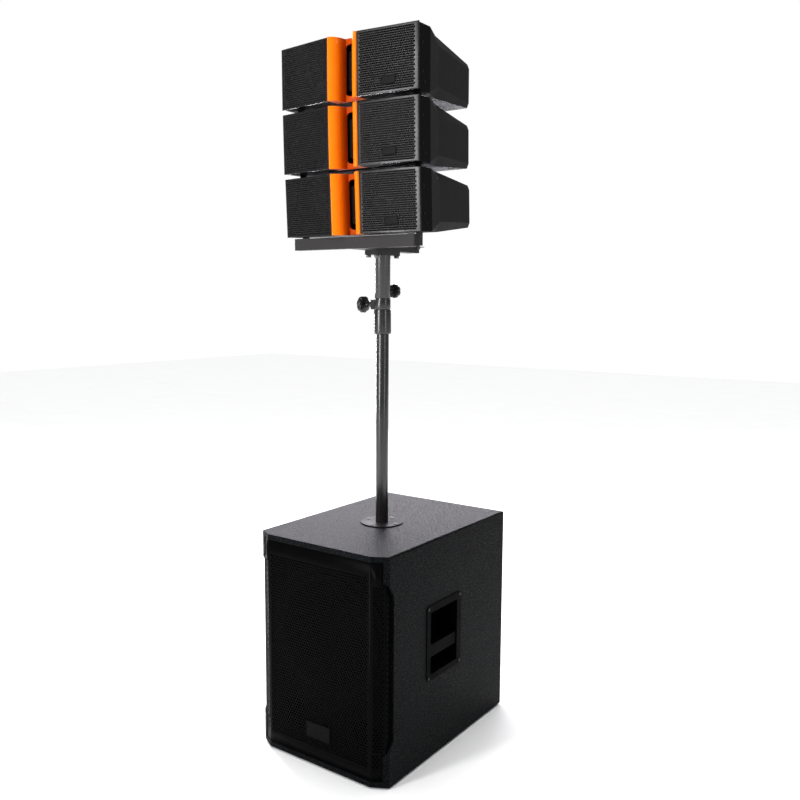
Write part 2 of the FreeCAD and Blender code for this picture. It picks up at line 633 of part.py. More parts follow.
def array_beam():
    """T weldment: hollow cross bar and spine, with two lugs for the low box's front pivots."""
    wall = "beam_wall"
    bar = slab("bar", ("-beam_half", "beam_half"), ("beam_front", "beam_front + beam_depth"),
               ("beam_bottom", "beam_top"))
    bar_bore = slab("bar_bore", ("-beam_half", "beam_half"),
                    ("beam_front + " + wall, "beam_front + beam_depth - " + wall),
                    ("beam_bottom + " + wall, "beam_top - " + wall))
    spine = slab("spine", ("-spine_half", "spine_half"), ("beam_front + beam_depth", "spine_back"),
                 ("beam_bottom", "beam_top"))
    spine_bore = slab("spine_bore", ("-spine_half + " + wall, "spine_half - " + wall),
                      ("beam_front + beam_depth", "spine_back"),
                      ("beam_bottom + " + wall, "beam_top - " + wall))
    slot = slab("spine_slot", (-3.2, 3.2), (88, "spine_back"), ("beam_top - 3", "beam_top"))
    pin_hole = rod("spine_pin_hole", "-spine_half - 1", rear_pin_place("low").y, "beam_bottom + pin_rise",
                   "pin_radius + running_gap", "2 * spine_half + 2", FACING_RIGHT)
    holes = [rod("spine_bolt_hole_%d" % i, x, "pole_y + %d" % y, "beam_bottom", "shank_radius", wall)
             for i, (x, y) in enumerate(BOLT_SPOTS)]
    lug = pivot_lug("beam_lug")
    solid = fused("beam_solid", cut("bar_tube", bar, bar_bore),
                  cut("spine_tube", spine, spine_bore, slot, pin_hole, *holes), lug, mirrored(lug))
    return node(solid, "array_beam")


def beam_caps():
    """Plastic end caps of the cross bar."""
    wall = "beam_wall"
    plug = slab("cap_plug", ("beam_half - 12", "beam_half"),
                ("beam_front + " + wall, "beam_front + beam_depth - " + wall),
                ("beam_bottom + " + wall, "beam_top - " + wall))
    head = slab("cap_head", ("beam_half", "beam_half + 3"), ("beam_front", "beam_front + beam_depth"),
                ("beam_bottom", "beam_top"))
    return node(pair("beam_caps", fused("cap", plug, head)), "beam_caps")


def rear_pin_place(box):
    """Where a box's rear pin lies, in the whole object's frame."""
    return box_frame(box).multVec(vector(0, "rear_pin_y", "rear_pin_z"))


def arc_slot(name, box, back, forward):
    """Cutter for the slot that a box's rear pin sweeps as the box turns about its front pivot."""
    frame = box_frame(box)
    pivot = frame.multVec(vector(0, "pivot_y", "pivot_z"))
    pin = frame.multVec(vector(0, "rear_pin_y", "rear_pin_z"))
    radius = pin - pivot
    grip = number("pin_radius") + 0.1
    low = -number(back)
    high = number(forward)
    reach = radius.Length
    half = FreeCAD.Vector(12, 0, 0)

    def swung(turn, offset=0.0):
        arm = FreeCAD.Rotation(FreeCAD.Vector(1, 0, 0), turn).multVec(radius)
        return pivot + arm * ((reach + offset) / reach) - half

    outer = [swung(turn, grip) for turn in (low, (low + high) / 2, high)]
    inner = [swung(turn, -grip) for turn in (low, (low + high) / 2, high)]
    edges = [Part.Arc(*outer).toShape(), Part.LineSegment(outer[2], inner[2]).toShape(),
             Part.Arc(*reversed(inner)).toShape(), Part.LineSegment(inner[0], outer[0]).toShape()]
    band = Part.Face(Part.Wire(edges)).extrude(half * 2)
    for turn in (low, high):
        band = band.fuse(Part.makeCylinder(grip, half.x * 2, swung(turn), half))
    cutter = doc.addObject("Part::Feature", name)
    cutter.Shape = band
    return cutter


def rear_strut():
    """Upright pinned in the spine; the low box's rear pin rides in its arc slot."""
    place = rear_pin_place("low")
    half = number("link_half")
    blank = slab("strut_blank", (-3, 3), (place.y - half, place.y + half),
                 ("beam_bottom + 4", place.z + number("tilt_up") * 4.2 + 9))
    root = rod("strut_root_hole", -4, place.y, "beam_bottom + pin_rise", "pin_radius + running_gap", 8,
               FACING_RIGHT)
    slot = arc_slot("strut_slot", "low", "tilt_down", "tilt_up")
    return node(cut("rear_strut", blank, root, slot), "rear_strut")


def quick_pin():
    """Quick-release pin through spine and strut, with a head and a wire pull ring."""
    place = rear_pin_place("low")
    height = number("beam_bottom + pin_rise")
    shank = rod("quick_shank", "-spine_half - 3", place.y, height, "pin_radius", "2 * spine_half + 9",
                FACING_RIGHT)
    head = rod("quick_head", "spine_half + 0.5", place.y, height, 7, 7, FACING_RIGHT)
    ring = doc.addObject("Part::Torus", "quick_ring")
    ring.Radius1 = 9
    ring.Radius2 = 0.9
    ring.Placement = placed("spine_half + 14", place.y, height)
    return node(fused("quick_pin", shank, head, ring), "quick_pin")


# ---- array boxes, each drawn in its own frame ----

def shell_section(half, tall, chamfer, shrink=0):
    """Eight-cornered section of a box's rear shell, in X and Z."""
    u = "(%s) - %g" % (half, shrink)
    v = "(%s) - %g" % (tall, shrink)
    drop = number(chamfer)
    slant = drop * 0.42
    right = [(u + " - %g" % slant, "-(%s)" % v), (u, "-(%s) + %g" % (v, drop)), (u, v + " - %g" % drop),
             (u + " - %g" % slant, v)]
    return right + [("-(%s)" % a, b) for a, b in reversed(right)]


def lofted(body, kind, stations):
    """Ruled loft through sections that stand at stated depths."""
    sketches = []
    for depth, section in stations:
        sketches.append(new_sketch(body, "XZ_Plane", "-(%s)" % depth, [section]))
    feature = body.newObject("PartDesign::" + kind, body.Name + "_loft")
    feature.Profile = sketches[0]
    feature.Sections = sketches[1:]
    feature.Ruled = True
    body.Tip = feature
    return feature


def box_cabinet(box):
    """Moulded shell: straight front part, facet, tapering rear with bevelled long edges."""
    name = box + "_cabinet"
    flank = "box_half - side_inset"
    tall = "box_tall / 2"
    wall = number("box_wall")
    straight = "%s - side_inset" % flank
    body = extruded(name, "XZ_Plane", "frame_depth", "rigging_depth", [rectangle(
        "-(%s)" % straight, straight, "-(%s)" % tall, tall)])
    facet = "box_half - facet_inset"
    lofted(body, "AdditiveLoft", [
        ("rigging_depth", shell_section(flank, tall, 4)),
        ("facet_depth", shell_section(facet, tall + " - facet_taper", 26)),
        ("box_depth", shell_section("box_half - rear_inset", tall + " - rear_taper", 13))])
    pocket(body, "XZ_Plane", "frame_depth", "rigging_depth", [rectangle(
        "-(%s) + box_wall" % straight, straight + " - box_wall",
        "-(%s) + box_wall" % tall, tall + " - box_wall")])
    lofted(body, "SubtractiveLoft", [
        ("rigging_depth", shell_section(straight, tall, 4, wall)),
        ("facet_depth", shell_section(facet, tall + " - facet_taper", 22, wall)),
        ("box_depth - box_wall",
         shell_section("box_half - rear_inset + 2", tall + " - rear_taper + 1", 10, wall))])
    slots = [rectangle(-4.5, 4.5, 250, 302)]
    for side in (1, -1):
        edge = side * number("pivot_x")
        slots.append(rectangle(edge - 3.2, edge + 3.2, "pivot_y - 17", "pivot_y + 17"))
    pocket(body, "XY_Plane", "-(%s)" % tall, tall, slots)
    pocket(body, "XZ_Plane", "box_depth - 3", "box_depth", [rectangle(-66, 66, -36, 36)])
    pocket(body, "XZ_Plane", "box_depth - box_wall", "box_depth", [rectangle(-58, 58, -28, 28)])
    return node(body, name, box_frame(box))


def box_front(box):
    """Left and right front mouldings with a stepped cutout for each driver."""
    name = box + "_front_frame"
    tall = "box_tall / 2"
    edge = "box_half - side_inset - side_inset"
    body = extruded(name, "XY_Plane", "-(%s)" % tall, tall, [[
        ("horn_half", "-nose + 3"), (edge, 3.2), (edge, "frame_depth"), ("horn_half", "frame_depth")]])
    pocket(body, "XZ_Plane", "-nose", 10, circles=[("driver_x", 0, "driver_radius + 1")])
    pocket(body, "XZ_Plane", 10, "frame_depth", circles=[("driver_x", 0, "driver_radius - 7")])
    return node(pair(name, body), name, box_frame(box))


def box_grilles(box):
    """Folded perforated sheets left and right of the waveguide."""
    tall = "box_tall / 2"
    body = extruded(box + "_grille", "XY_Plane", "-(%s)" % tall, tall, [[
        ("horn_half + 0.5", "-nose"), ("box_half", 0), ("box_half", "5"), ("box_half - 2", "5"),
        ("box_half - 2", 2.6), ("horn_half + 0.5", "-nose + 2.6")]])
    pocket(body, "XY_Plane", "-(%s) + 2" % tall, tall + " - 2", [[
        ("horn_half", "-nose + 1.4"), ("box_half - 2", 1.4), ("box_half - 2", 6), ("horn_half", 6)]])
    return node(pair(box + "_grilles", body), box + "_grilles", box_frame(box))


def box_waveguide(box):
    """Coloured horn: two rounded lips and flanks that narrow to a tall throat slot."""
    name = box + "_waveguide"
    edge = "horn_half - 0.3"
    tall = "box_tall / 2"
    body = extruded(name, "XY_Plane", "-(%s)" % tall, tall, [both_sides([
        ("slot_half", "throat_depth"), ("slot_half + 1.5", "throat_depth / 2"),
        ("horn_half - 22", "-nose / 2"), ("horn_half - 9", "-nose - 1"), (edge, "-nose + 1"),
        (edge, "frame_depth")])])
    pad(body, "XZ_Plane", "frame_depth", "frame_depth + 6", [rectangle(
        "-(%s)" % edge, edge, "-(%s) + box_wall + 0.5" % tall, tall + " - box_wall - 0.5")])
    pocket(body, "XZ_Plane", "throat_depth - 1", "frame_depth + 6", [rectangle(
        "-slot_half", "slot_half", "-slot_tall / 2", "slot_tall / 2")])
    return node(body, name, box_frame(box))


def hf_driver(box):
    """Compression driver bolted to the back of the waveguide."""
    body = turned(box + "_hf_driver", [(0, 30), (50, 30), (50, 36), (24, 40), (24, 46), (43, 46),
                                       (45, 50), (45, 84), (42, 88), (0, 88)])
    return node(body, box + "_hf_driver", box_frame(box).multiply(placed(0, 0, 0, FACING_BACK)))


def box_woofers(box):
    """Two cone drivers: baskets, ring magnets, and the cones that move together."""
    basket = turned(box + "_basket", [
        ("driver_radius - 8.4", 5), ("driver_radius", 5), ("driver_radius", 10), ("driver_radius - 7", 10),
        ("driver_radius - 7", 13), (38, 44), (38, 47), (17, 47), (17, 44), (35, 44),
        ("driver_radius - 8.4", 12.5)])
    window = pocket(basket, "YZ_Plane", 22, "driver_radius", [rectangle(-11, 11, 18, 38)])
    around(basket, window, 6)
    magnet = turned(box + "_magnet", [
        (14.5, 47), (38, 47), (38, 68), (0, 68), (0, 49), (11.5, 49), (11.5, 64), (14.5, 64)])
    cone = turned(box + "_cone", [
        ("driver_radius - 9", 8), ("driver_radius - 11", 4.5), ("driver_radius - 14", 4.5),
        ("driver_radius - 16.5", 8), (15, 30), (0, 24), (0, 25), (12.5, 31), (12.5, 60),
        (13.4, 60), (13.4, 34),
        ("driver_radius - 16", 9.5), ("driver_radius - 13.6", 6), ("driver_radius - 11.4", 6),
        ("driver_radius - 10", 8)])
    for body, part_name in ((basket, "woofer_frames"), (magnet, "woofer_magnets"), (cone, "woofer_cones")):
        body.Placement = placed("driver_x", 0, 0, FACING_BACK)
        name = "%s_%s" % (box, part_name)
        node(pair(name, body), name, box_frame(box))


def box_sockets(box):
    """Connector plate in the back, with two open-mouthed sockets."""
    back = "box_depth - 3"
    name = box + "_socket_plate"
    plate = slab(name + "_blank", (-65.5, 65.5), (back, "box_depth"), (-35.5, 35.5))
    openings = []
    shells = []
    for i, x in enumerate((-30, 30)):
        openings.append(rod("%s_hole_%d" % (name, i), x, back + " - 1", 0, 13, 6, FACING_BACK))
        shell = rod("%s_shell_%d" % (name, i), x, back + " - 22", 0, 13, 24, FACING_BACK)
        mouth = rod("%s_mouth_%d" % (name, i), x, back + " - 12", 0, 10, 16, FACING_BACK)
        shells.append(cut("%s_socket_%d" % (name, i), shell, mouth))
    return node(group(name, cut(name + "_plate", plate, *openings), *shells), name, box_frame(box))


def front_link(name, box, above):
    """Plate on top of a box that reaches into the box above, drawn in this box's frame."""
    frame = box_frame(box)
    eye = frame.inverse().multVec(box_frame(above).multVec(vector("pivot_x", "pivot_y", "pivot_z")))
    gauge = number("link_gauge")
    half = number("link_half")
    x = eye.x - gauge / 2
    stem = slab(name + "_stem", (x, x + gauge), (eye.y - half, eye.y + half), ("box_tall / 2 - 30", eye.z))
    end = rod(name + "_end", x, eye.y, eye.z, half, gauge, FACING_RIGHT)
    hole = rod(name + "_eye", x - 1, eye.y, eye.z, "pin_radius + running_gap", gauge + 2, FACING_RIGHT)
    root = rod(name + "_root", x - 1, "pivot_y", "box_tall / 2 - link_root", "pin_radius", gauge + 2,
               FACING_RIGHT)
    return cut(name, fused(name + "_solid", stem, end), hole, root)


def rear_link(name, box, above):
    """Central plate with the arc slot that sets the splay of the box above."""
    frame = box_frame(box)
    pin = frame.inverse().multVec(rear_pin_place(above))
    half = number("link_half")
    blank = slab(name + "_blank", (-3, 3), (pin.y - half, pin.y + half), ("box_tall / 2 - 48", pin.z + 16))
    root = rod(name + "_root", -4, "rear_pin_y", "box_tall / 2 - rear_root", "pin_radius", 8, FACING_RIGHT)
    slot = arc_slot(name + "_slot", above, "splay_closed", "splay_open")
    slot.Placement = frame.inverse()
    return cut(name, blank, root, slot)


def fitting(name, wall_x, y, z, pin_x, pin_length):
    """Pin between two upright cheeks, such as a clevis, as one welded fitting."""
    pin = rod(name + "_pin", pin_x, y, z, "pin_radius", pin_length, FACING_RIGHT)
    across = (number(y) - 10, number(y) + 10)
    upward = (number(z) - 6.5, number(z) + 6.5)
    cheeks = [slab("%s_cheek_%d" % (name, i), x, across, upward) for i, x in enumerate(wall_x)]
    return fused(name, pin, *cheeks)


def box_rigging(box, above):
    """Steel side plates with screws, clevis pins, and the links that carry the box above."""
    name = box + "_rigging"
    face = "box_half - side_inset"
    tall = "box_tall / 2"
    plate = slab(name + "_plate", (face + " - side_inset", face), (5.5, "rigging_depth - 0.5"),
                 ("-(%s) + 1" % tall, tall + " - 1"))
    places = ((22, 33), (22, -33), (32, -56))
    screws = [rod("%s_screw_%d" % (name, i), face, y, z, 3, 1.2, FACING_RIGHT)
              for i, (y, z) in enumerate(places)]
    x = number("pivot_x")
    cheeks = ((x - 8, x - 4), (x + 4, x + 8))
    sides = [fused(name + "_side", plate, *screws),
             fitting(name + "_pivot", cheeks, "pivot_y", "pivot_z", x - 8, 16)]
    centre_cheeks = ((-9, -5), (5, 9))
    middle = [fitting(name + "_rear", centre_cheeks, "rear_pin_y", "rear_pin_z", -9, 18)]
    if above:
        sides.append(fitting(name + "_root", cheeks, "pivot_y", "box_tall / 2 - link_root", x - 8, 16))
        sides.append(front_link(name + "_link", box, above))
        middle.append(fitting(name + "_rear_root", centre_cheeks, "rear_pin_y",
                              "box_tall / 2 - rear_root", -9, 18))
        middle.append(rear_link(name + "_splay_plate", box, above))
    pieces = [piece for item in sides for piece in (item, mirrored(item))]
    return node(group(name, *(pieces + middle)), name, box_frame(box))


def array_box(box, above):
    box_cabinet(box)
    box_front(box)
    box_grilles(box)
    box_waveguide(box)
    hf_driver(box)
    box_woofers(box)
    box_sockets(box)
    box_rigging(box, above)


# ---- whole object ----

def check_document():
    """Stop on any failed object, or any sub-part whose shape is missing or not valid."""
    for item in doc.Objects:
        if "Invalid" in item.State or "Error" in item.State:
            raise RuntimeError("%s failed: %s" % (item.Name, item.State))
    for item in nodes:
        if item.Shape.isNull() or not item.Shape.isValid() or not item.Shape.Solids:
            raise RuntimeError("%s has no valid solid" % item.Label)


def export_nodes():
    os.makedirs("parts", exist_ok=True)
    for item in nodes:
        item.Shape.exportStep("parts/%s.step" % item.Label)


def build():
    for make in (sub_cabinet, sub_baffle, sub_grille, sub_badge, sub_woofer, sub_ports, side_handle,
                 pole_socket, sub_feet, amp_plate, amp_heatsink, amp_electronics, amp_sockets,
                 level_knob, power_rocker, sub_screws, lower_pole, upper_pole, pole_sleeve,
                 clamp_collar, knobs, plate_bolts, array_beam, beam_caps, rear_strut,
                 quick_pin):
        make()
    for box, above in zip(BOXES, BOXES[1:] + (None,)):
        array_box(box, above)
    doc.recompute()
    check_document()
    export_nodes()


build()
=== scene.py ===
import json
import math

import bpy
import bmesh
from mathutils import Matrix, Vector


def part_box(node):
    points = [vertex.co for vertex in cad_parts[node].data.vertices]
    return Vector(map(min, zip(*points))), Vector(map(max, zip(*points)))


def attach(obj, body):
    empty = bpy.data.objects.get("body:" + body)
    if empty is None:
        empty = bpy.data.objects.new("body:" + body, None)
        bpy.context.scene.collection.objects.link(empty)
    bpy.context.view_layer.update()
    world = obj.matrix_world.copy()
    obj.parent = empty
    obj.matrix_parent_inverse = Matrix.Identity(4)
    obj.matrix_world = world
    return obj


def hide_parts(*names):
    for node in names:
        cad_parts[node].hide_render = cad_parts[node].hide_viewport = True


# A ground-stacked line array: finished surfaces, perforated grilles, horns, fasteners and lights
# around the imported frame. Metres, +Z up, the grilles face -Y.

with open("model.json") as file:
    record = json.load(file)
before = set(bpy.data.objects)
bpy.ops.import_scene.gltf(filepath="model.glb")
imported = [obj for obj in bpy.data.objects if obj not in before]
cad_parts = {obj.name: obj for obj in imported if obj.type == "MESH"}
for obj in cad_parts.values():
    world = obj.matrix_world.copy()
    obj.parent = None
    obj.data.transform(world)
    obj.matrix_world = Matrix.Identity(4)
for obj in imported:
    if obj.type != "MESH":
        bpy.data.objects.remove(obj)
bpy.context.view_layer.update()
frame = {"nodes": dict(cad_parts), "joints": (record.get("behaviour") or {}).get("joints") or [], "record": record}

MM = 0.001
BOXES = ("low", "mid", "top")
HINGES = {"low": "array_tilt", "mid": "mid_splay", "top": "top_splay"}
JOINTS = {joint["name"]: joint for joint in frame["joints"]}

# array box, in its own frame: y = 0 at the front side corners, z = 0 at mid height, millimetres
BOX_HALF = 220.0
BOX_TALL = 155.0
NOSE = 18.4
HORN_HALF = 47.5
PIVOT_Y = 42.0
PIVOT_Z = -58.0
SLOT_HALF = 18.0
SLOT_TALL = 64.0
SLOT_ROUND = 9.0
FRAME_DEPTH = 24.0
THROAT_DEPTH = 20.0
LIP_HALF = 4.6
LIP_DEEP = 6.4
LIP_Y = -NOSE + 3.6
LIP_SWEEP = -125  # degrees
FLANK_PULL = (24.0, -15.0)
FLANK_END = (SLOT_HALF + 1.5, 10.0)
HORN_GAP = 0.3
GRILLE_GAP = 0.5
BOX_SHEET = 1.1
BOX_MARGINS = (1.6, 5.8, 1.6, 1.6)
BOX_PITCH = 6.2
BOX_HOLE = 2.8
BOX_SQUASH = 0.66
BADGE_WIDE = 40.0
BADGE_TALL = 20.0
BADGE_ROUND = 3.0
BADGE_FROM_HORN = 70.0
BADGE_LOW = -57.0
SIDE_SCREWS = ((22, 33), (22, -33), (32, -56))
SCREW_RADIUS = 3.3
SCREW_INSET = 3.8

# the grille's line in plan, from the horn to the box's side
GRILLE_START = Vector((HORN_HALF + GRILLE_GAP, -NOSE))
GRILLE_LINE = Vector((BOX_HALF, 0.0)) - GRILLE_START
GRILLE_ALONG = GRILLE_LINE.normalized()
GRILLE_INWARD = Vector((-GRILLE_ALONG.y, GRILLE_ALONG.x))

# subwoofer front, millimetres
SUB_FRONT = -300.0
CORNER_DEPTH = 24.0
FACE_HALF = 172.0
CORNER_WIDTH = 43.0
CHEEK_X = 207.0
EAR_X = 198.8
EAR_TOP = 531.0
EAR_BOTTOM = 92.0
EAR_SLOPE = 34.0
TAIL_Y = -259.0
GRILLE_LOW = 19.5
GRILLE_HIGH = 588.5
SUB_SHEET = 1.5
SUB_PITCH = 8.6
SUB_HOLE = 3.05
TAIL_HOLE = 2.9
TAIL_TIP = 7.0
TAIL_CORNER = 5.0
FACE_MARGINS = (5, 5, 30, 34)
LOW_CHEEK_MARGINS = (3, 3, 32, 0)
CHEEK_MARGINS = (3, 1, 2, 2)
TAIL_MARGINS = (2, 2, 0, 0)

# floor in metres; camera in metres, degrees of yaw, pitch and roll, and millimetres
FLOOR_REACH = 12.0
CAMERA_PLACE = (1.4098, -1.9184, 1.2319)
CAMERA_ANGLES = (35.403, 6.754, 0.309)
CAMERA_LENS = 38.57
CAMERA_SENSOR = 36.0

# edge rounding, millimetres: the usual, and the nodes that are rounder
USUAL_ROUNDING = 0.8
ROUNDING = {"sub_cabinet": 2.5, "handle_left": 2.4, "handle_right": 2.4, "array_beam": 1.2,
            "low_cabinet": 1.6, "mid_cabinet": 1.6, "top_cabinet": 1.6}


# ---- node materials ----

class Nodes:
    """Small helper that adds nodes to one material and joins them."""

    def __init__(self, name):
        self.material = bpy.data.materials.new(name)
        self.material.use_nodes = True
        self.tree = self.material.node_tree
        self.shader = self.tree.nodes["Principled BSDF"]
        self.place = self.add("ShaderNodeTexCoord").outputs["Object"]

    def add(self, kind, **values):
        node = self.tree.nodes.new(kind)
        for key, value in values.items():
            if key in node.inputs:
                node.inputs[key].default_value = value
            else:
                setattr(node, key, value)
        return node

    def join(self, source, target):
        self.tree.links.new(source, target)

    def noise(self, scale, detail=2.0, rough=0.5, stretch=None):
        """Noise in metres of the object's own frame; a scale of 1000 is one cell a millimetre."""
        node = self.add("ShaderNodeTexNoise", Scale=scale, Detail=detail, Roughness=rough)
        place = self.place
        if stretch:
            mapping = self.add("ShaderNodeMapping", Scale=stretch)
            self.join(place, mapping.inputs["Vector"])
            place = mapping.outputs["Vector"]
        self.join(place, node.inputs["Vector"])
        return node.outputs["Fac"]

    def cells(self, scale):
        """Distance to the nearest of a scatter of points, in the same frame and scale as noise."""
        node = self.add("ShaderNodeTexVoronoi", Scale=scale, Randomness=1.0)
        self.join(self.place, node.inputs["Vector"])
        return node.outputs["Distance"]

    def ramp(self, factor, stops):
        """Colour ramp from (position, colour) stops; a plain number is a grey."""
        node = self.add("ShaderNodeValToRGB")
        ramp = node.color_ramp
        while len(ramp.elements) < len(stops):
            ramp.elements.new(1.0)
        for element, (position, colour) in zip(ramp.elements, stops):
            element.position = position
            if not hasattr(colour, "__len__"):
                colour = (colour, colour, colour)
            element.color = (*colour, 1)
        self.join(factor, node.inputs["Fac"])
        return node.outputs["Color"]

    def mix(self, factor, low, high):
        """Blend two colours; each argument is an output or a plain value."""
        node = self.add("ShaderNodeMix", data_type="RGBA", blend_type="MIX")
        for index, value in ((0, factor), (6, low), (7, high)):
            socket = node.inputs[index]
            if hasattr(value, "is_output"):
                self.join(value, socket)
            elif hasattr(value, "__len__"):
                socket.default_value = (*value, 1)
            else:
                socket.default_value = value
        return node.outputs[2]

    def bump(self, height, distance):
        """Chain one more bump; distance is in metres."""
        node = self.add("ShaderNodeBump", Strength=1.0, Distance=distance)
        self.join(height, node.inputs["Height"])
        before = self.shader.inputs["Normal"]
        if before.is_linked:
            self.join(before.links[0].from_socket, node.inputs["Normal"])
        self.join(node.outputs["Normal"], before)

    def colour(self, output):
        self.join(output, self.shader.inputs["Base Color"])

    def roughness(self, factor, low, high):
        """Uneven gloss between two roughness values."""
        self.join(self.ramp(factor, [(0.3, low), (0.7, high)]), self.shader.inputs["Roughness"])


def grey(low, high):
    """Two nearly neutral tones, a touch warmer in the light one."""
    return (low * 1.02, low, low * 1.03), (high * 1.06, high * 0.97, high * 1.02)


def painted(name, low, high, rough, grain=900.0, depth=0.0001, gloss=0.08):
    """Paint or moulded plastic: soft patches of two greys, a fine grain in the bump, uneven gloss.

    grain is a noise scale, depth the bump's distance in metres, gloss the specular level."""
    dark, light = grey(low, high)
    nodes = Nodes(name)
    nodes.shader.inputs["Metallic"].default_value = 0.0
    nodes.shader.inputs["Specular IOR Level"].default_value = gloss
    patches = nodes.noise(14.0, 4.0)
    grains = nodes.noise(grain, 3.0, 0.6)
    tone = nodes.mix(nodes.ramp(grains, [(0.35, 0.0), (0.7, 1.0)]), dark, light)
    worn = nodes.mix(nodes.ramp(patches, [(0.4, 0.0), (0.75, 0.45)]), tone, light)
    nodes.colour(worn)
    nodes.roughness(patches, rough - 0.06, rough + 0.08)
    nodes.bump(grains, depth)
    return nodes.material


def coated_plywood():
    """Coarse sprayed coating: rounded droplets about three millimetres across over fine grain, with painted
    highlight on the droplet crests and painted shade in the hollows between them.
    """
    nodes = Nodes("coated_plywood")
    nodes.shader.inputs["Specular IOR Level"].default_value = 0.04
    drops = nodes.cells(240.0)
    fine = nodes.noise(800.0, 3.0, 0.6)
    patches = nodes.noise(7.0, 4.0)
    crests = nodes.ramp(drops, [(0.08, 1.0), (0.4, 0.0)])
    # painted light: the crests get a lighter grey and the hollows near black, standing in for light caught on the
    # droplets and shade between them
    tone = nodes.mix(crests, (0.0004, 0.0012, 0.0014), (0.022, 0.021, 0.025))
    faded = nodes.ramp(patches, [(0.45, 0.0), (0.8, 0.3)])
    nodes.colour(nodes.mix(faded, tone, (0.005, 0.0052, 0.006)))
    gloss = nodes.mix(nodes.ramp(fine, [(0.35, 0.0), (0.65, 1.0)]), crests, (0.5, 0.5, 0.5))
    nodes.join(nodes.ramp(gloss, [(0.1, 0.62), (0.9, 0.2)]), nodes.shader.inputs["Roughness"])
    nodes.bump(crests, 0.0018)
    nodes.bump(fine, 0.00012)
    return nodes.material


def glossy_orange():
    """Moulded horn: saturated orange under a clear gloss, with painted shade that darkens it inside the throat."""
    nodes = Nodes("horn_orange")
    nodes.shader.inputs["Specular IOR Level"].default_value = 0.08
    nodes.shader.inputs["Coat Weight"].default_value = 0.2
    nodes.shader.inputs["Coat Roughness"].default_value = 0.07
    patches = nodes.noise(20.0, 3.0)
    bright = nodes.mix(patches, (0.84, 0.165, 0.002), (0.92, 0.2, 0.003))
    # painted shade: the orange turns a dark red-brown within a few millimetres of the throat slot, where the
    # recess is in shadow
    parts = nodes.add("ShaderNodeSeparateXYZ")
    nodes.join(nodes.place, parts.inputs["Vector"])
    sideways = nodes.add("ShaderNodeMath", operation="ABSOLUTE")
    nodes.join(parts.outputs["X"], sideways.inputs[0])
    throat_shade_fade = nodes.add("ShaderNodeMapRange")
    nodes.join(sideways.outputs["Value"], throat_shade_fade.inputs["Value"])
    throat_shade_fade.inputs["From Min"].default_value = (SLOT_HALF + 0.5) * MM
    throat_shade_fade.inputs["From Max"].default_value = (SLOT_HALF + 5.0) * MM
    nodes.colour(nodes.mix(throat_shade_fade.outputs["Result"], (0.42, 0.05, 0.001), bright))
    nodes.roughness(patches, 0.24, 0.36)
    nodes.bump(nodes.noise(260.0, 2.0), 0.00004)
    return nodes.material


def brushed(name, tone, rough):
    """Plated or bare metal with fine level lines."""
    nodes = Nodes(name)
    nodes.shader.inputs["Metallic"].default_value = 1.0
    lines = nodes.noise(60.0, 4.0, 0.6, (1, 1, 40))
    nodes.colour(nodes.mix(lines, tuple(0.8 * c for c in tone), tone))
    nodes.roughness(lines, rough, rough + 0.15)
    nodes.bump(lines, 0.00006)
    return nodes.material


def paper_cone():
    """Black pressed paper with short fibres."""
    nodes = Nodes("cone_paper")
    nodes.shader.inputs["Specular IOR Level"].default_value = 0.06
    fibres = nodes.noise(700.0, 5.0, 0.7)
    nodes.colour(nodes.mix(fibres, (0.0012, 0.0012, 0.0013), (0.004, 0.0039, 0.0038)))
    nodes.roughness(fibres, 0.6, 0.85)
    nodes.bump(fibres, 0.0003)
    return nodes.material


def circuit_board():
    """Green lacquer in two tones with raised islands."""
    nodes = Nodes("circuit_board")
    tracks = nodes.cells(90.0)
    edges = nodes.ramp(tracks, [(0.2, 0.0), (0.3, 1.0)])
    nodes.colour(nodes.mix(edges, (0.01, 0.09, 0.04), (0.015, 0.14, 0.06)))
    nodes.roughness(nodes.noise(60.0), 0.3, 0.5)
    nodes.bump(tracks, 0.0002)
    return nodes.material


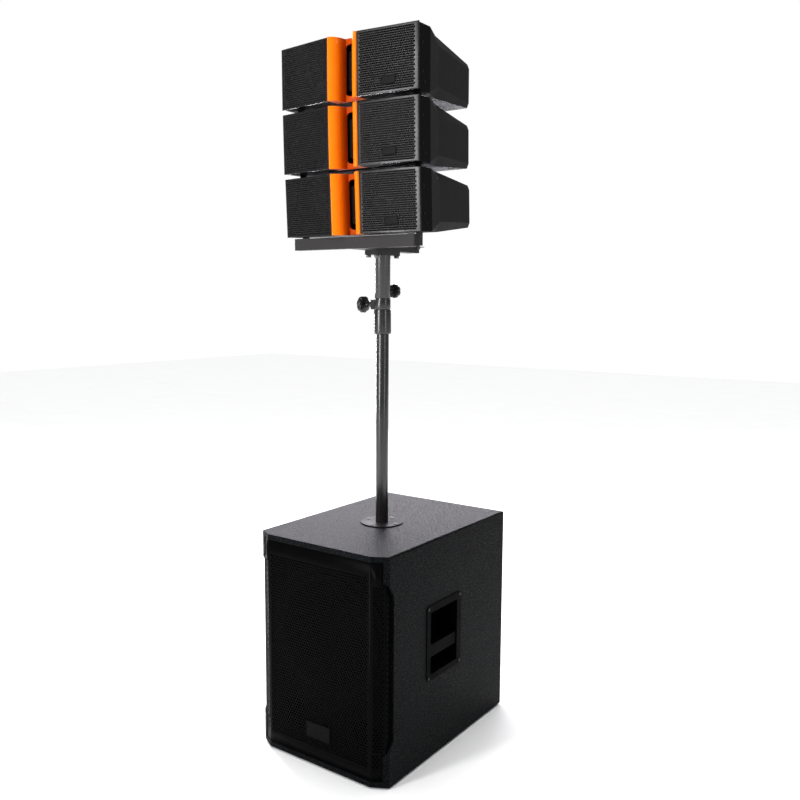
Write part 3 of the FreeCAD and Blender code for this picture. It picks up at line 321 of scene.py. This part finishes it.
LOOKS = {
    "coated_plywood": coated_plywood(),
    "bare_plywood": painted("bare_plywood", 0.0015, 0.003, 0.8, 260.0, 0.0003, 0.03),
    "grille_steel": painted("grille_steel", 0.0008, 0.0024, 0.3, 1500.0, 0.00004, 0.014),
    "badge_metal": painted("badge_metal", 0.0015, 0.0035, 0.3, 900.0, 0.00004, 0.03),
    "basket_metal": painted("basket_metal", 0.001, 0.003, 0.6, 700.0, 0.0001, 0.04),
    "magnet_ferrite": painted("magnet_ferrite", 0.008, 0.016, 0.7, 500.0, 0.0002, 0.2),
    "cone_paper": paper_cone(),
    "port_plastic": painted("port_plastic", 0.0015, 0.003, 0.6, 600.0, 0.0001, 0.03),
    "handle_plastic": painted("handle_plastic", 0.0006, 0.0016, 0.45, 1100.0, 0.00015, 0.012),
    "painted_steel": painted("painted_steel", 0.008, 0.014, 0.5, 1300.0, 0.0001, 0.04),
    "foot_rubber": painted("foot_rubber", 0.006, 0.014, 0.85, 500.0, 0.0002, 0.1),
    "bare_aluminium": brushed("bare_aluminium", (0.16, 0.16, 0.17), 0.35),
    "circuit_board": circuit_board(),
    "socket_plastic": painted("socket_plastic", 0.006, 0.012, 0.35, 900.0, 0.00008, 0.3),
    "knob_plastic": painted("knob_plastic", 0.004, 0.010, 0.36, 900.0, 0.0001, 0.35),
    "dark_screws": brushed("dark_screws", (0.03, 0.03, 0.032), 0.4),
    "pole_paint": painted("pole_paint", 0.008, 0.014, 0.25, 1600.0, 0.000008, 0.65),
    "bright_steel": brushed("bright_steel", (0.17, 0.165, 0.165), 0.3),
    "beam_paint": painted("beam_paint", 0.022, 0.034, 0.45, 1200.0, 0.00008, 0.12),
    "cap_plastic": painted("cap_plastic", 0.014, 0.022, 0.45, 900.0, 0.0001, 0.15),
    "box_shell": painted("box_shell", 0.008, 0.015, 0.5, 1000.0, 0.0001, 0.06),
    "front_moulding": painted("front_moulding", 0.001, 0.002, 0.5, 700.0, 0.0001, 0.02),
    "box_grille_steel": painted("box_grille_steel", 0.005, 0.012, 0.24, 1500.0, 0.00004, 0.2),
    "horn_orange": glossy_orange(),
    "driver_metal": painted("driver_metal", 0.002, 0.004, 0.7, 500.0, 0.0001, 0.1),
    "rigging_steel": painted("rigging_steel", 0.002, 0.005, 0.45, 1300.0, 0.0001, 0.05),
}


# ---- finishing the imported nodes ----

def round_edges(item, width, segments, angle):
    """Bevel every edge sharper than the angle; width in millimetres, angle in degrees."""
    bevel = item.modifiers.new("round", "BEVEL")
    bevel.width = width * MM
    bevel.segments = segments
    bevel.limit_method = "ANGLE"
    bevel.angle_limit = math.radians(angle)
    bevel.harden_normals = True


def soften(item, width):
    """Merge the faces that lie in one plane, then give real corners a small round."""
    weld = item.modifiers.new("weld", "WELD")
    weld.merge_threshold = 1e-5
    planar = item.modifiers.new("planar", "DECIMATE")
    planar.decimate_type = "DISSOLVE"
    planar.angle_limit = math.radians(1.0)
    round_edges(item, width, 2, 35.0)


def finish_nodes():
    """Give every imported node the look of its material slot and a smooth, softly edged surface."""
    slots = {part["node"]: part["material_slot"] for part in frame["record"]["subparts"]}
    for name, item in frame["nodes"].items():
        look = LOOKS[slots[name]]
        if not item.material_slots:
            item.data.materials.append(look)
        for slot in item.material_slots:
            slot.material = look
        soften(item, ROUNDING.get(name, USUAL_ROUNDING))


# ---- building new pieces ----

def box_matrix(box):
    """Frame of an array box, from its hinge and from the way its cones travel."""
    forward = JOINTS[box + "_cone_travel"]["axis"]
    tilt = math.atan2(-forward[2], -forward[1])
    turn = Matrix.Rotation(tilt, 4, "X")
    pivot = Vector(JOINTS[HINGES[box]]["pos_m"])
    origin = pivot - turn @ (Vector((0, PIVOT_Y, PIVOT_Z)) * MM)
    return Matrix.Translation(origin) @ turn


def piece(name, builder, body, slot, matrix=None, replaces=(), smooth=30.0, closed=True):
    """Turn a bmesh drawn in millimetres into a piece that rides on a body."""
    if closed:
        bmesh.ops.remove_doubles(builder, verts=builder.verts, dist=0.001)
        bmesh.ops.recalc_face_normals(builder, faces=builder.faces)
    mesh = bpy.data.meshes.new(name)
    builder.to_mesh(mesh)
    builder.free()
    mesh.transform((matrix or Matrix.Identity(4)) @ Matrix.Scale(MM, 4))
    mesh.materials.append(LOOKS[slot])
    mesh.shade_smooth()
    mesh.set_sharp_from_angle(angle=math.radians(smooth))
    item = bpy.data.objects.new(name, mesh)
    bpy.context.scene.collection.objects.link(item)
    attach(item, body)
    if replaces:
        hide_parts(*replaces)
    return item


def add_face(builder, corners):
    """One face on vertices of its own; they're merged when the piece is made."""
    return builder.faces.new([builder.verts.new(corner) for corner in corners])


def skin(builder, rings):
    """Join closed rings of equal length, each to the next."""
    for first, second in zip(rings, rings[1:]):
        for i in range(len(first)):
            j = (i + 1) % len(first)
            add_face(builder, [first[i], first[j], second[j], second[i]])


def cap(builder, rings):
    """Close the last and the first ring."""
    add_face(builder, rings[-1])
    add_face(builder, list(reversed(rings[0])))


def thicken(item, thickness):
    """Give an open sheet its thickness in millimetres, behind its front."""
    sheet = item.modifiers.new("thickness", "SOLIDIFY")
    sheet.thickness = thickness * MM
    sheet.offset = -1.0
    sheet.use_even_offset = True


def perforate(builder, low, high, margins, pitch, hole, wrap, squash=1.0):
    """One flat panel of staggered holes with plain margins.

    low and high are the panel's corners in its own plane, margins are the least widths at the left,
    right, bottom and top, pitch is the spacing of the holes and hole their radius, wrap turns a
    point of the plane into a point in space, and squash flattens the holes."""
    left, right, bottom, top = margins
    row_step = pitch * math.sqrt(3) / 2
    columns = int((high[0] - low[0] - left - right) / pitch - 0.5)
    rows = int((high[1] - low[1] - bottom - top) / row_step)
    wide = (columns + 0.5) * pitch
    u0 = (low[0] + left + high[0] - right - wide) / 2
    v0 = (low[1] + bottom + high[1] - top - rows * row_step) / 2
    u1 = u0 + wide
    v1 = v0 + rows * row_step
    half = pitch / 2

    def hole_cell(u, v):
        """Six faces between one hole and its cell, with the neighbours' corners on the rim."""
        rim = [(u, v), (u + half, v), (u + pitch, v), (u + pitch, v + row_step),
               (u + half, v + row_step), (u, v + row_step)]
        centre = (u + half, v + row_step / 2)
        turns = [math.radians(a) for a in (-150, -90, -30, 30, 90, 150, 210)]
        for i in range(6):
            bow = []
            for step in (1.0, 0.5, 0.0):
                turn = turns[i] + (turns[i + 1] - turns[i]) * step
                bow.append((centre[0] + hole * math.cos(turn),
                            centre[1] + squash * hole * math.sin(turn)))
            add_face(builder, [wrap(*p) for p in (rim[i], rim[(i + 1) % 6], *bow)])

    for row in range(rows):
        v = v0 + row * row_step
        shift = half * (row % 2)
        for column in range(columns):
            hole_cell(u0 + shift + column * pitch, v)
        near = u0 if row % 2 else u1 - half
        far, above = near + half, v + row_step
        add_face(builder, [wrap(*p) for p in ((near, v), (far, v), (far, above), (near, above))])
    across = [u0 + half * i for i in range(2 * columns + 2)]
    upward = [v0 + row_step * i for i in range(rows + 1)]
    low_right, high_left = (high[0], low[1]), (low[0], high[1])
    margin_faces = ([low, low_right] + [(u, v0) for u in reversed(across)],
                    [high, high_left] + [(u, v1) for u in across],
                    [high_left, low] + [(u0, v) for v in upward],
                    [low_right, high] + [(u1, v) for v in reversed(upward)])
    for outline in margin_faces:
        add_face(builder, [wrap(*p) for p in outline])


# ---- subwoofer ----

def face_forward(builder):
    """Turn an open sheet's normals so that its outer side is the front."""
    bmesh.ops.remove_doubles(builder, verts=builder.verts, dist=0.001)
    bmesh.ops.recalc_face_normals(builder, faces=builder.faces)
    if sum(face.normal.y * face.calc_area() for face in builder.faces) > 0:
        bmesh.ops.reverse_faces(builder, faces=builder.faces)


def sub_grille():
    """Perforated sheet: flat face, two slanted cheeks, and tails turned back between the ears."""
    builder = bmesh.new()
    front = SUB_FRONT + SUB_SHEET

    def depth(x):
        return front + CORNER_DEPTH * (x - FACE_HALF) / CORNER_WIDTH

    perforate(builder, (-FACE_HALF, GRILLE_LOW), (FACE_HALF, GRILLE_HIGH), FACE_MARGINS, SUB_PITCH,
              SUB_HOLE, lambda u, v: (u, front, v))
    slope = math.hypot(CORNER_WIDTH, CORNER_DEPTH) / CORNER_WIDTH
    narrow = (EAR_X - FACE_HALF) * slope
    wide = (CHEEK_X - FACE_HALF) * slope
    bend = depth(CHEEK_X)
    for side in (1, -1):
        def slanted(u, v, side=side):
            x = FACE_HALF + u / slope
            return (side * x, depth(x), v)

        def turned_back(u, v, side=side):
            return (side * CHEEK_X, bend + u, v)

        perforate(builder, (0, GRILLE_LOW), (narrow, EAR_BOTTOM), LOW_CHEEK_MARGINS, SUB_PITCH,
                  SUB_HOLE, slanted)
        perforate(builder, (0, EAR_BOTTOM), (wide, EAR_TOP), CHEEK_MARGINS, SUB_PITCH,
                  SUB_HOLE, slanted)
        add_face(builder, [slanted(*p) for p in ((0, EAR_TOP), (narrow, EAR_TOP),
                                                 (narrow, GRILLE_HIGH), (0, GRILLE_HIGH))])
        deep = TAIL_Y - bend
        ends = (EAR_BOTTOM + EAR_SLOPE, EAR_TOP - EAR_SLOPE)
        perforate(builder, (0, ends[0]), (deep, ends[1]), TAIL_MARGINS, SUB_PITCH,
                  TAIL_HOLE, turned_back)
        for end, corner, tip in ((ends[1], EAR_TOP - TAIL_CORNER, EAR_TOP),
                                 (ends[0], EAR_BOTTOM + TAIL_CORNER, EAR_BOTTOM)):
            outline = ((0, end), (deep, end), (TAIL_TIP, corner), (0, tip))
            add_face(builder, [turned_back(*p) for p in outline])
    face_forward(builder)
    item = piece("sub_grille_sheet", builder, "subwoofer", "grille_steel", replaces=("sub_grille",),
                 closed=False)
    thicken(item, SUB_SHEET)


def sub_badge():
    """Blank plate with a raised rim."""
    low, high = (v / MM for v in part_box("sub_badge"))
    builder = bmesh.new()
    rings = []
    profile = ((0.0, 1.4), (0.0, 0.3), (0.5, 0.0), (2.2, 0.0), (2.6, 0.5), (3.4, 0.5))
    for inset, depth in profile:
        left, bottom, right, top = low.x + inset, low.z + inset, high.x - inset, high.z - inset
        rings.append([(x, SUB_FRONT + depth, z) for x, z in (
            (left, bottom), (right, bottom), (right, top), (left, top))])
    skin(builder, rings)
    cap(builder, rings)
    piece("sub_badge_plate", builder, "subwoofer", "badge_metal", replaces=("sub_badge",))


def screw(name, place, axis, radius, body, matrix):
    """Domed screw head with a hexagon recess. The axis points out of the surface."""
    builder = bmesh.new()
    around = 18  # three steps to each side of the hexagon
    profile = ((radius, 0.0), (radius * 0.98, radius * 0.25), (radius * 0.8, radius * 0.5),
               (radius * 0.55, radius * 0.6))
    socket = radius * 0.42
    turn = Vector((0, 0, 1)).rotation_difference(Vector(axis)).to_matrix()

    def ring(size, rise):
        angles = [math.tau * i / around for i in range(around)]
        spots = [Vector((size * math.cos(a), size * math.sin(a), rise)) for a in angles]
        return [tuple(turn @ spot + Vector(place)) for spot in spots]

    rings = [ring(*stage) for stage in profile]
    hexagon = []
    for i in range(around):
        corner = (i // 3) * 3
        a, b = math.tau * corner / around, math.tau * (corner + 3) / around
        share = (i % 3) / 3
        hexagon.append(Vector((socket * (math.cos(a) * (1 - share) + math.cos(b) * share),
                               socket * (math.sin(a) * (1 - share) + math.sin(b) * share),
                               radius * 0.6)))
    recess = Vector((0, 0, radius * 0.45))
    rings.append([tuple(turn @ p + Vector(place)) for p in hexagon])
    rings.append([tuple(turn @ (p - recess) + Vector(place)) for p in hexagon])
    skin(builder, rings)
    cap(builder, rings)
    piece(name, builder, body, "dark_screws", matrix)


# ---- array boxes ----

def arc(centre, radii, start, end, steps):
    """Points on an ellipse between two angles in degrees."""
    spots = []
    for i in range(steps + 1):
        turn = math.radians(start + (end - start) * i / steps)
        spots.append((centre[0] + radii[0] * math.cos(turn), centre[1] + radii[1] * math.sin(turn)))
    return spots


def bezier(first, pull, last, steps):
    """Points on a curve from first to last that bends towards pull; first itself is left out."""
    spots = []
    for i in range(1, steps + 1):
        t = i / steps
        spots.append(tuple(a * (1 - t) ** 2 + 2 * b * t * (1 - t) + c * t ** 2
                           for a, b, c in zip(first, pull, last)))
    return spots


def waveguide(box):
    """Glossy horn: rounded lips, swelling flanks and a tall throat slot with rounded ends."""
    edge = HORN_HALF - HORN_GAP
    lip_centre = (edge - LIP_HALF, LIP_Y)
    right = [(edge, FRAME_DEPTH)] + arc(lip_centre, (LIP_HALF, LIP_DEEP), 0, LIP_SWEEP, 10)
    right += bezier(right[-1], FLANK_PULL, FLANK_END, 14)
    right.append((SLOT_HALF, THROAT_DEPTH))
    left = [(-x, y) for x, y in reversed(right)]
    tall = BOX_TALL / 2
    straight = SLOT_TALL - SLOT_ROUND
    levels = (-tall, -straight, straight, tall)
    builder = bmesh.new()

    def wall(points, low, high):
        for (x0, y0), (x1, y1) in zip(points, points[1:]):
            add_face(builder, [(x0, y0, low), (x1, y1, low), (x1, y1, high), (x0, y0, high)])

    for low, high in zip(levels, levels[1:]):
        for line in (right, left, [(SLOT_HALF, FRAME_DEPTH), (edge, FRAME_DEPTH)],
                     [(-edge, FRAME_DEPTH), (-SLOT_HALF, FRAME_DEPTH)]):
            wall(line, low, high)
    for x in (-SLOT_HALF, SLOT_HALF):
        wall([(x, THROAT_DEPTH), (x, FRAME_DEPTH)], -straight, straight)
    for end in (1, -1):
        curve = [(x, end * z) for x, z in arc((0, straight), (SLOT_HALF, SLOT_ROUND), 0, 180, 12)]
        for y in (THROAT_DEPTH, FRAME_DEPTH):
            outline = curve + [(-SLOT_HALF, end * tall), (SLOT_HALF, end * tall)]
            add_face(builder, [(x, y, z) for x, z in outline])
        for (x0, z0), (x1, z1) in zip(curve, curve[1:]):
            add_face(builder, [(x0, THROAT_DEPTH, z0), (x1, THROAT_DEPTH, z1),
                               (x1, FRAME_DEPTH, z1), (x0, FRAME_DEPTH, z0)])
        back = [(-SLOT_HALF, FRAME_DEPTH), (SLOT_HALF, FRAME_DEPTH)]
        add_face(builder, [(x, y, end * tall) for x, y in right + left + back])
    item = piece(box + "_horn", builder, box + "_box", "horn_orange", box_matrix(box),
                 (box + "_waveguide",), smooth=40.0)
    round_edges(item, 0.7, 3, 38.0)


def box_grille(box, side, name):
    """Folded perforated sheet on one side of the horn."""
    long = GRILLE_LINE.length
    tall = BOX_TALL / 2
    builder = bmesh.new()

    def wrap(u, v, depth=0.0):
        spot = GRILLE_START + GRILLE_ALONG * u + GRILLE_INWARD * depth
        return (side * spot.x, spot.y, v)

    fold = ((1.3, 0.0), (0.6, 0.16), (0.16, 0.6), (0.0, 1.3), (0.0, 4.2))
    edge = fold[0][0]
    perforate(builder, (edge, -tall + edge), (long - edge, tall - edge), BOX_MARGINS, BOX_PITCH,
              BOX_HOLE, wrap, BOX_SQUASH)
    rings = []
    for inset, depth in fold:
        far, top = long - inset, tall - inset
        rings.append([wrap(u, v, depth) for u, v in (
            (inset, -top), (far, -top), (far, top), (inset, top))])
    skin(builder, rings)
    face_forward(builder)
    item = piece(name, builder, box + "_box", "box_grille_steel", box_matrix(box),
                 (box + "_grilles",), smooth=50.0, closed=False)
    thicken(item, BOX_SHEET)


def blank_badge(box):
    """Small unmarked plate low on the right grille."""
    builder = bmesh.new()
    rings = []
    profile = ((0.0, -0.2), (0.0, 1.2), (0.7, 1.8), (2.0, 1.8), (2.6, 1.3), (4.0, 1.3))
    for inset, rise in profile:
        corners = []
        bend = max(BADGE_ROUND - inset, 0.4)
        near = inset + bend
        right, top = BADGE_WIDE - near, BADGE_TALL - near
        centres = ((right, top), (near, top), (near, near), (right, near))
        for turn, centre in zip((0, 90, 180, 270), centres):
            corners += arc(centre, (bend, bend), turn, turn + 90, 4)
        ring = []
        for u, v in corners:
            spot = GRILLE_START + GRILLE_ALONG * (BADGE_FROM_HORN + u) - GRILLE_INWARD * rise
            ring.append((spot.x, spot.y, BADGE_LOW + v))
        rings.append(ring)
    skin(builder, rings)
    cap(builder, rings)
    piece(box + "_badge", builder, box + "_box", "badge_metal", box_matrix(box))


def box_details(box):
    """Everything that is added to one array box."""
    waveguide(box)
    box_grille(box, 1, box + "_grille_right")
    box_grille(box, -1, box + "_grille_left")
    blank_badge(box)
    for side, word in ((1, "right"), (-1, "left")):
        for i, (y, z) in enumerate(SIDE_SCREWS):
            screw("%s_plate_screw_%d_%s" % (box, i, word), (side * (BOX_HALF - SCREW_INSET), y, z),
                  (side, 0, 0), SCREW_RADIUS, box + "_box", box_matrix(box))


# ---- floor, light and camera ----

def studio():
    """Pale floor and an even pale surround."""
    floor_mesh = bpy.data.meshes.new("floor")
    signs = ((-1, -1), (1, -1), (1, 1), (-1, 1))
    floor_mesh.from_pydata([(x * FLOOR_REACH, y * FLOOR_REACH, 0) for x, y in signs],
                           [], [(0, 1, 2, 3)])
    floor = bpy.data.objects.new("floor", floor_mesh)
    bpy.context.scene.collection.objects.link(floor)
    nodes = Nodes("floor")
    nodes.colour(nodes.mix(nodes.noise(3.0), (0.78, 0.78, 0.78), (0.82, 0.82, 0.82)))
    nodes.shader.inputs["Roughness"].default_value = 0.8
    nodes.shader.inputs["Specular IOR Level"].default_value = 0.2
    floor_mesh.materials.append(nodes.material)
    world = bpy.data.worlds.new("studio")
    world.use_nodes = True
    tree = world.node_tree
    dim = tree.nodes["Background"]
    dim.inputs["Color"].default_value = (0.96, 0.97, 1.0, 1)
    dim.inputs["Strength"].default_value = 0.28
    backdrop = tree.nodes.new("ShaderNodeBackground")
    backdrop.inputs["Color"].default_value = (1, 1, 1, 1)
    seen = tree.nodes.new("ShaderNodeLightPath")
    mixed = tree.nodes.new("ShaderNodeMixShader")
    tree.links.new(seen.outputs["Is Camera Ray"], mixed.inputs["Fac"])
    tree.links.new(dim.outputs["Background"], mixed.inputs[1])
    tree.links.new(backdrop.outputs["Background"], mixed.inputs[2])
    tree.links.new(mixed.outputs["Shader"], tree.nodes["World Output"].inputs["Surface"])
    bpy.context.scene.world = world
    bpy.context.scene.view_settings.view_transform = "Standard"


def lamp(name, place, target, size, power, colour=(1, 1, 1)):
    """Soft rectangular light that the camera itself doesn't see; metres and watts."""
    light = bpy.data.lights.new(name, "AREA")
    light.shape = "RECTANGLE"
    light.size, light.size_y = size
    light.energy = power
    light.color = colour
    item = bpy.data.objects.new(name, light)
    bpy.context.scene.collection.objects.link(item)
    item.location = place
    item.rotation_euler = (Vector(target) - Vector(place)).to_track_quat("-Z", "Y").to_euler()
    item.visible_camera = False


def lights():
    """Tall strips for the long highlights, a raised panel behind, and an even light from above."""
    lamp("front_strip", (-0.95, -3.35, 1.8), (0, 0, 1.2), (0.5, 2.6), 120)
    lamp("right_strip", (3.3, -0.6, 1.7), (0, 0, 1.2), (0.3, 2.4), 20)
    lamp("left_strip", (-2.6, 0.9, 1.7), (0, 0, 1.2), (0.3, 2.4), 70)
    lamp("back_panel", (-2.9, 4.2, 2.2), (0, 0, 0.6), (3.6, 1.3), 240, (1.0, 0.96, 1.04))
    lamp("overhead", (-0.3, 0.1, 4.4), (0, 0, 0.6), (2.0, 2.0), 60)
    above = bpy.data.lights.new("above", "SUN")
    above.energy = 3.0
    above.angle = math.radians(50.0)
    item = bpy.data.objects.new("above", above)
    bpy.context.scene.collection.objects.link(item)
    item.rotation_euler = (math.radians(-8.0), math.radians(-6.0), 0.0)


def camera():
    """Slightly from above and from the right, level apart from a third of a degree."""
    yaw, pitch, roll = (math.radians(angle) for angle in CAMERA_ANGLES)
    forward = Vector((-math.sin(yaw) * math.cos(pitch), math.cos(yaw) * math.cos(pitch),
                      -math.sin(pitch)))
    level = Vector((math.cos(yaw), math.sin(yaw), 0))
    above = level.cross(forward)
    right = level * math.cos(roll) + above * math.sin(roll)
    up = above * math.cos(roll) - level * math.sin(roll)
    lens = bpy.data.cameras.new("camera")
    lens.lens = CAMERA_LENS
    lens.sensor_width = CAMERA_SENSOR
    item = bpy.data.objects.new("camera", lens)
    bpy.context.scene.collection.objects.link(item)
    turn = Matrix((right, up, -forward)).transposed().to_4x4()
    item.matrix_world = Matrix.Translation(CAMERA_PLACE) @ turn
    bpy.context.scene.camera = item


finish_nodes()
sub_grille()
sub_badge()
for box_name in BOXES:
    box_details(box_name)
studio()
lights()
camera()
